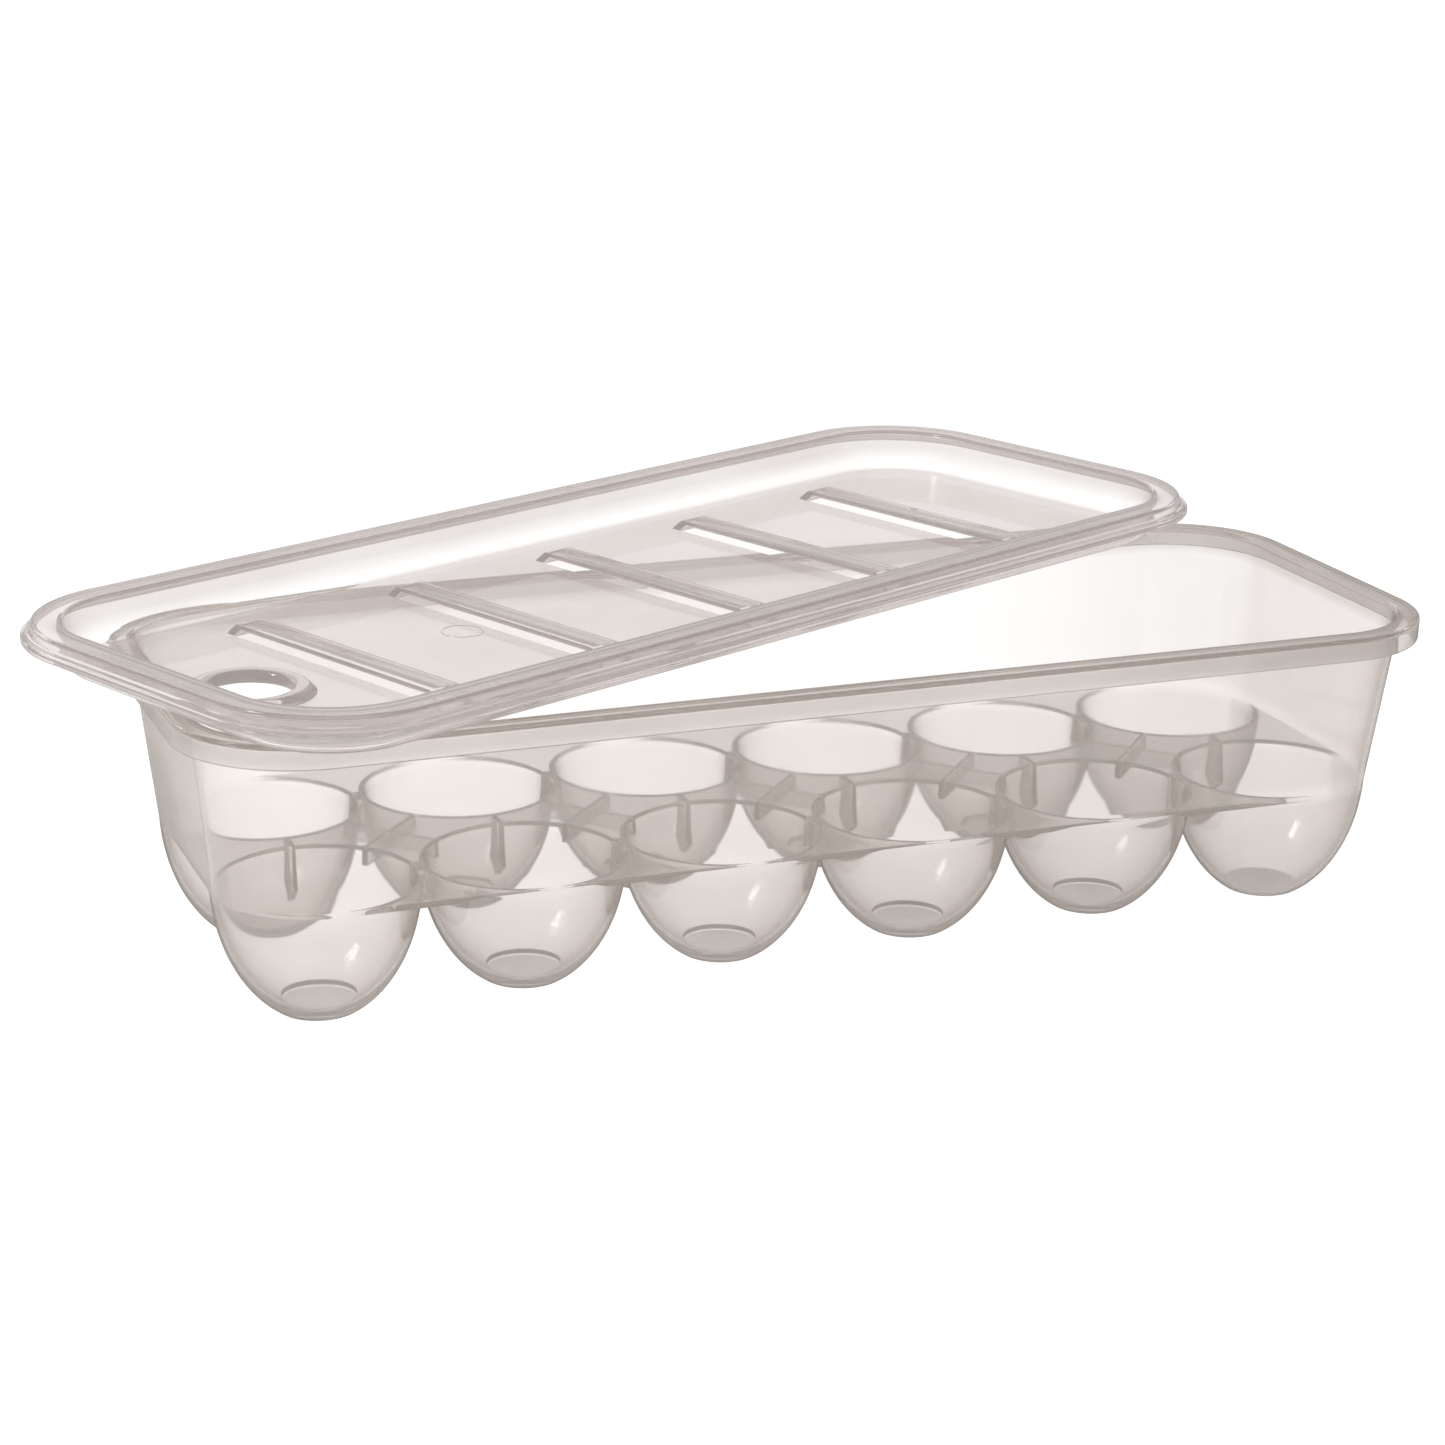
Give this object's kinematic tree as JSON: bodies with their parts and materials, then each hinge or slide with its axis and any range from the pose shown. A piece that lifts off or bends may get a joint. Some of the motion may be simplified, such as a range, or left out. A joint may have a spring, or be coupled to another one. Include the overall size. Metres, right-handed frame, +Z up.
{
  "type": "lidded egg storage box",
  "caption": "Clear moulded egg storage box: deep rimmed tray with rows of rounded egg cups, and a loose sunken lid with cross ridges and a finger hole.",
  "frame": {"origin": "on the resting plane, under the middle of the tray: the centre between the four corner feet", "axes": "+X along the tray's long side, +Y from its front wall to its back wall, +Z up"},
  "size_m": [0.3432, 0.2278, 0.0891],
  "materials": {
    "clear_plastic": "thin clear moulded plastic, smooth and slightly milky, with bright rounded edges"
  },
  "bodies": {
    "tray": {"tray": "clear_plastic"},
    "lid": {"lid": "clear_plastic"}
  },
  "joints": [
    {"name": "lid_lift", "type": "slide", "parent": "tray", "child": "lid", "axis": [0, 0, 1], "range_m": [0, 0.12]}
  ]
}
